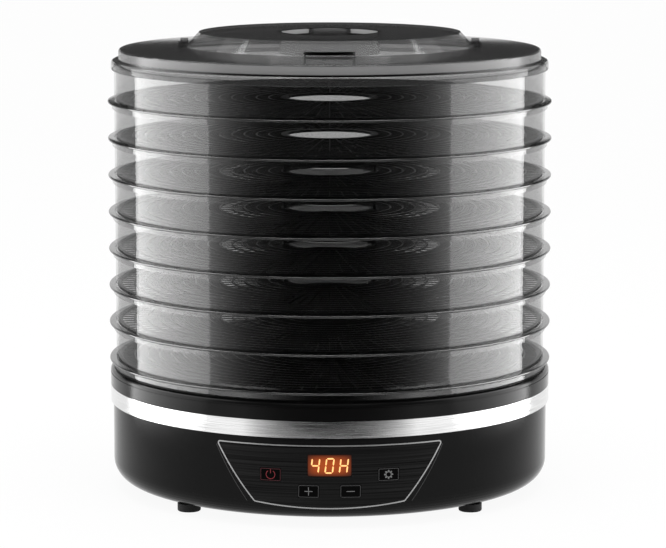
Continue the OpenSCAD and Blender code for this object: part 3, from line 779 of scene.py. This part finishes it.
# Point at angle t: centre + radius * (cos t, sin t), with t from start to end in degrees.
def arcPath(centre, radius, start, end, steps):
    turn = np.radians(np.linspace(start, end, steps))
    return np.stack([centre[0] + radius * np.cos(turn), centre[1] + radius * np.sin(turn)], -1)


# A quarter turn about each corner's own centre, which is half the size less the corner's radius
# from the middle.
def roundedBox(centre, wide, tall, corner):
    x, z = wide / 2 - corner, tall / 2 - corner
    spots = ((x, z, 0), (-x, z, 90), (-x, -z, 180), (x, -z, 270))
    steps = signs["cornerSteps"]
    arcs = [arcPath(centre + (dx, dz), corner, turn, turn + 90, steps) for dx, dz, turn in spots]
    return np.concatenate([arc[:-1] for arc in arcs])


# Adds points to a closed path until each stretch is short, to follow the panel's curve.
def refined(path):
    way = np.roll(path, -1, 0) - path
    counts = np.maximum(1, np.ceil(np.linalg.norm(way, axis=1) / signs["fineStep"])).astype(int)
    shares = [np.linspace(0, 1, count, endpoint=False)[:, None] for count in counts]
    return np.concatenate([start + go * share for start, go, share in zip(path, way, shares)])


def keyMiddle(node):
    low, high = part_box(node)
    return np.array([(low.x + high.x) / 2, (low.z + high.z) / 2])


def addSurfaceMark(name, shapes, finish, body, slot):
    addPiece(name, *joinShapes(shapes), finish, body, slot)


# The outline lies just inside the cap's edge, and the cap inside its flange. The outline is a
# painted line with a little painted glow, standing in for the light at the gap round the key.
def keyOutline(node):
    low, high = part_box(node)
    inset = signs["flangeInset"] + signs["outlineInset"]
    wide, tall = high.x - low.x - 2 * inset, high.z - low.z - 2 * inset
    outline = refined(roundedBox(keyMiddle(node), wide, tall, signs["outlineCorner"]))
    return surfaceBar(outline, signs["outlineWidth"], True)


power = {
    "radius": 3.2 * mm,
    "start": 125,  # degrees from the right, leaving a gap at the top
    "end": 415,
    "steps": 36,
    "barHeights": (0.9 * mm, 2.4 * mm, 3.9 * mm),
}


# An open ring, with an upright bar through its gap.
def powerSign(spot):
    ring = arcPath(spot, power["radius"], power["start"], power["end"], power["steps"])
    bar = [spot + (0, height) for height in power["barHeights"]]
    return [surfaceBar(ring, signs["strokeWidth"]), surfaceBar(bar, signs["strokeWidth"])]


gear = {
    "radius": 2.0 * mm,
    "width": 0.6 * mm,
    "teeth": 8,
    "steps": 36,
    "toothRadii": (2.2 * mm, 2.5 * mm, 3.0 * mm, 3.3 * mm),
    "toothWidths": (0.9 * mm, 1.2 * mm, 1.2 * mm, 0.6 * mm),
}


# One ring, with a short fat bar for each tooth along its angle t: spot + radius * (cos t, sin t).
def gearSign(spot):
    ring = arcPath(spot, gear["radius"], 0, 360 - 360 / gear["steps"], gear["steps"])
    shapes = [surfaceBar(ring, gear["width"], True)]
    for turn in np.linspace(0, 2 * np.pi, gear["teeth"], endpoint=False):
        way = np.array([np.cos(turn), np.sin(turn)])
        tooth = np.stack([spot + way * radius for radius in gear["toothRadii"]])
        shapes.append(surfaceBar(tooth, gear["toothWidths"]))
    return shapes


armLength = 3.0 * mm


# One level arm each way from the middle.
def minusSign(spot):
    return [surfaceBar([spot - (armLength, 0), spot, spot + (armLength, 0)], signs["strokeWidth"])]


# The same, and one arm up and one down.
def plusSign(spot):
    upright = [spot - (0, armLength), spot, spot + (0, armLength)]
    return minusSign(spot) + [surfaceBar(upright, signs["strokeWidth"])]


keySigns = {"power": powerSign, "settings": gearSign, "plus": plusSign, "minus": minusSign}
for key, draw in keySigns.items():
    node = f"key_{key}"
    lit = key == "power"
    line, sign = ("lineRed", "signRed") if lit else ("lineGrey", "signGrey")
    # The outline is a painted line with a little glow, standing in for the light at the gap round
    # the key.
    addSurfaceMark(f"{node}_outline", [keyOutline(node)], line, f"{key}_key", "panel")
    addSurfaceMark(f"{node}_sign", draw(keyMiddle(node)), sign, f"{key}_key", "panel")
print("signs:", len(keySigns), "keys")


# A faint line on the housing beside each slanting side of the panel, bowed as those sides are: a
# painted line with a little painted glow, standing in for the light and shade at the edge of the
# panel's recess.
sideLine = {
    "away": 2.6 * mm,  # from the trim
    "bow": 1.5 * mm,
    "from": 4.0 * mm,  # above the trim's lowest corner
    "to": 3.0 * mm,  # below its highest
    "lowHalfWidth": 55.4 * mm,
    "width": 0.35 * mm,
    "steps": 24,
}


def makeSideLines():
    low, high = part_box("panel_trim")
    start, end = low.z + sideLine["from"], high.z - sideLine["to"]
    share = np.linspace(0, 1, sideLine["steps"])
    slant = (high.x - sideLine["lowHalfWidth"]) / (high.z - low.z)
    z = start + (end - start) * share
    # x = half width at the bottom + slant * height + distance + bow * 4 * share * (1 - share)
    bow = sideLine["bow"] * 4 * share * (1 - share)
    x = sideLine["lowHalfWidth"] + slant * (z - low.z) + sideLine["away"] + bow
    surface = -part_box("base_housing")[0].y
    paths = [np.stack([side * x, z], -1) for side in (-1, 1)]
    bars = [surfaceBar(path, sideLine["width"], radius=surface) for path in paths]
    addSurfaceMark("panel_side_lines", bars, "faintLine", "base", "black_plastic")


makeSideLines()
print("signs: lines beside the panel")


digit = {
    "height": 11.6 * mm,
    "width": 6.4 * mm,
    "step": 10.4 * mm,
    "stroke": 1.05 * mm,
    "lean": 0.12,  # sideways for each unit of height
    "shares": (0.06, 0.18, 0.5, 0.82, 0.94),  # points along a bar
    "widths": (0.25, 1, 1, 1, 0.25),  # and the width there, as shares of the stroke
}

# Seven bars of a digit, each from end to end in units of its half width and half height.
barEnds = {
    "a": ((-1, 1), (1, 1)),
    "b": ((1, 1), (1, 0)),
    "c": ((1, 0), (1, -1)),
    "d": ((-1, -1), (1, -1)),
    "e": ((-1, 0), (-1, -1)),
    "f": ((-1, 1), (-1, 0)),
    "g": ((-1, 0), (1, 0)),
}
readout = ("fgbc", "abcdef", "fegbc")


# Half size of the bars' middle lines = (size - stroke) / 2.
# Then each point goes aside by lean * height.
def digitBars(middle, bars):
    half = np.array([digit["width"] - digit["stroke"], digit["height"] - digit["stroke"]]) / 2
    width = digit["stroke"] * np.array(digit["widths"])
    shapes = []
    for bar in bars:
        start, end = (np.array(share) * half for share in barEnds[bar])
        path = start + (end - start) * np.array(digit["shares"])[:, None]
        path[:, 0] += path[:, 1] * digit["lean"]
        shapes.append(surfaceBar(path + middle, width))
    return shapes


lensMiddle = keyMiddle("display_lens")
digits = []
for place, bars in enumerate(readout):
    digits += digitBars(lensMiddle + ((place - 1) * digit["step"], 0), bars)
addSurfaceMark("display_digits", digits, "digits", "base", "display")
print("signs:", len(readout), "digits")

# Studio.

studio = {
    "floorSize": 40.0,
    "floorTone": 0.95,
    "floorWhite": 0.93,  # share of plain white in what is seen of the floor
    "skyLight": 0.8,
    "topSize": 1.2,
    "topAhead": 0.2,  # in front of the axis
    "topHeight": 1.7,
    "topWatts": 14.0,
    "sideAt": 0.45,  # of each side panel, from the axis
    "sideFrom": -0.298,
    "sideTo": 0.139,
    "sideHeight": 0.9,
    "sideTones": (2.35, 7.2),  # at its front and back edges
    "sideFade": 1.2,
    "cardFoot": 0.001,  # height of the cards' lower edges
    "cardSteps": 33,
    "cardRadius": 0.45,
    "cardHalfAngle": 54.0,
    "cardHeight": 0.7,
    "cardTone": 0.005,  # at its middle
    "cardPeak": 1.15,  # how much brighter it is at its sides
    "cardFade": 5.2,  # power with which it brightens towards its sides
    "stripHeight": 0.048,  # its low part is lighter and fades sooner, for the steel band
    "stripHalfAngle": 37.0,
    "stripPeak": 1.25,
    "stripFade": 3.0,
    "backAt": 0.7,
    "backWide": 1.8,
    "backFrom": 0.36,
    "backTo": 1.3,
    "backTone": 0.02,
}


# One for what is seen straight, in a mirror or through glass: there floor and sky are white.
def seenDirectly(tree):
    path = addNode(tree, "ShaderNodeLightPath")
    either = addMath(tree, "MAXIMUM", path.outputs["Is Camera Ray"], path.outputs["Is Glossy Ray"])
    return addMath(tree, "MAXIMUM", either, path.outputs["Is Transmission Ray"])


def makeFloor():
    half = studio["floorSize"] / 2
    mesh = bpy.data.meshes.new("studio_floor")
    corners = [(-half, -half, 0), (half, -half, 0), (half, half, 0), (-half, half, 0)]
    mesh.from_pydata(corners, [], [(0, 1, 2, 3)])
    floor = bpy.data.objects.new("studio_floor", mesh)
    bpy.context.scene.collection.objects.link(floor)
    material, tree, shader = startMaterial("floor_paper")
    tree.nodes.remove(shader)
    paper = addNode(tree, "ShaderNodeBsdfDiffuse", Color=grey(studio["floorTone"]))
    white = addNode(tree, "ShaderNodeEmission", Color=grey(1), Strength=1.0)
    share = addMath(tree, "MULTIPLY", seenDirectly(tree), studio["floorWhite"])
    mix = tree.nodes.new("ShaderNodeMixShader")
    for socket, term in enumerate((share, paper.outputs[0], white.outputs[0])):
        feed(tree, mix.inputs[socket], term)
    tree.links.new(mix.outputs[0], tree.nodes["Material Output"].inputs["Surface"])
    mesh.materials.append(material)


def makeSky():
    world = bpy.data.worlds.new("studio_sky")
    world.use_nodes = True
    bpy.context.scene.world = world
    tree = world.node_tree
    background = tree.nodes["Background"]
    background.inputs["Color"].default_value = grey(1)
    low = studio["skyLight"]
    strength = addMath(tree, "MULTIPLY_ADD", seenDirectly(tree), 1 - low, low)
    tree.links.new(strength, background.inputs["Strength"])


# A square lamp above, aimed at the foot of the axis.
def makeLamp():
    data = bpy.data.lights.new("top", "AREA")
    data.shape = "RECTANGLE"
    data.size = data.size_y = studio["topSize"]
    data.energy = studio["topWatts"]
    lamp = bpy.data.objects.new("top", data)
    bpy.context.scene.collection.objects.link(lamp)
    place = Vector((0, -studio["topAhead"], studio["topHeight"]))
    lamp.location = place
    lamp.rotation_mode = "QUATERNION"
    lamp.rotation_quaternion = (-place).to_track_quat("-Z", "Y")
    lamp.visible_camera = False


# A card that only mirrors see.
def addCard(name, points, faces, makeTone):
    mesh = bpy.data.meshes.new(name)
    mesh.from_pydata(points, [], faces)
    card = bpy.data.objects.new(name, mesh)
    bpy.context.scene.collection.objects.link(card)
    material, tree, shader = startMaterial(name)
    tree.nodes.remove(shader)
    light = addNode(tree, "ShaderNodeEmission", Color=grey(1), Strength=makeTone(tree))
    tree.links.new(light.outputs[0], tree.nodes["Material Output"].inputs["Surface"])
    mesh.materials.append(material)
    card.visible_camera = False
    card.visible_diffuse = False
    card.visible_transmission = False
    card.visible_shadow = False


# Tone = middle tone + peak * (angle from the front / half angle) to a power,
# with its own fade in the low strip.
def frontTone(tree):
    place = addNode(tree, "ShaderNodeSeparateXYZ", Vector=objectPlace(tree))
    ahead = addMath(tree, "MULTIPLY", place.outputs[1], -1.0)
    turn = addMath(tree, "ABSOLUTE", addMath(tree, "ARCTAN2", place.outputs[0], ahead))
    high = addMath(tree, "DIVIDE", turn, math.radians(studio["cardHalfAngle"]))
    high = addMath(tree, "POWER", high, studio["cardFade"])
    high = addMath(tree, "MULTIPLY", high, studio["cardPeak"])
    low = addMath(tree, "DIVIDE", turn, math.radians(studio["stripHalfAngle"]))
    low = addMath(tree, "MINIMUM", addMath(tree, "POWER", low, studio["stripFade"]), 1.0)
    low = addMath(tree, "MULTIPLY", low, studio["stripPeak"])
    inStrip = addMath(tree, "LESS_THAN", place.outputs[2], studio["stripHeight"])
    tone = addMath(tree, "MULTIPLY_ADD", inStrip, addMath(tree, "SUBTRACT", low, high), high)
    return addMath(tree, "ADD", tone, studio["cardTone"])


# Tone = front tone + (back tone - front tone) * (way from the front edge / whole way) to a power.
def sideTone(tree):
    place = addNode(tree, "ShaderNodeSeparateXYZ", Vector=objectPlace(tree))
    front, back = studio["sideTones"]
    along = addMath(tree, "SUBTRACT", place.outputs[1], studio["sideFrom"])
    share = addMath(tree, "DIVIDE", along, studio["sideTo"] - studio["sideFrom"])
    share = addMath(tree, "POWER", addMath(tree, "MAXIMUM", share, 0.0), studio["sideFade"])
    return addMath(tree, "MULTIPLY_ADD", share, back - front, front)


# One curved card in front, dark in its middle, a plain one high behind and bright ones aside.
# A point of the curved one: (reach * sin a, -reach * cos a, z), for a across and z up.
def makeCards():
    foot, steps, reach = studio["cardFoot"], studio["cardSteps"], studio["cardRadius"]
    turn = np.radians(np.linspace(-1, 1, steps) * studio["cardHalfAngle"])
    a, z = np.meshgrid(turn, [foot, studio["cardHeight"]])
    points = np.stack([reach * np.sin(a), -reach * np.cos(a), z], -1).reshape(-1, 3)
    i = np.arange(steps - 1)
    faces = np.stack([i, i + 1, i + 1 + steps, i + steps], -1)
    addCard("front_card", points.tolist(), faces.tolist(), frontTone)
    half = studio["backWide"] / 2
    back, low, high = studio["backAt"], studio["backFrom"], studio["backTo"]
    corners = [(-half, back, low), (half, back, low), (half, back, high), (-half, back, high)]
    addCard("back_card", corners, [(0, 1, 2, 3)], lambda tree: studio["backTone"])
    near, far, tall = studio["sideFrom"], studio["sideTo"], studio["sideHeight"]
    for side in (-1, 1):
        at = side * studio["sideAt"]
        corners = [(at, near, foot), (at, far, foot), (at, far, tall), (at, near, tall)]
        addCard(f"side_card_{side}", corners, [(0, 1, 2, 3)], sideTone)


makeFloor()
makeSky()
makeLamp()
makeCards()
print("studio: floor, sky, lamp and cards")

view = bpy.context.scene.view_settings
view.view_transform = "Standard"
bpy.context.scene.cycles.transparent_max_bounces = 32
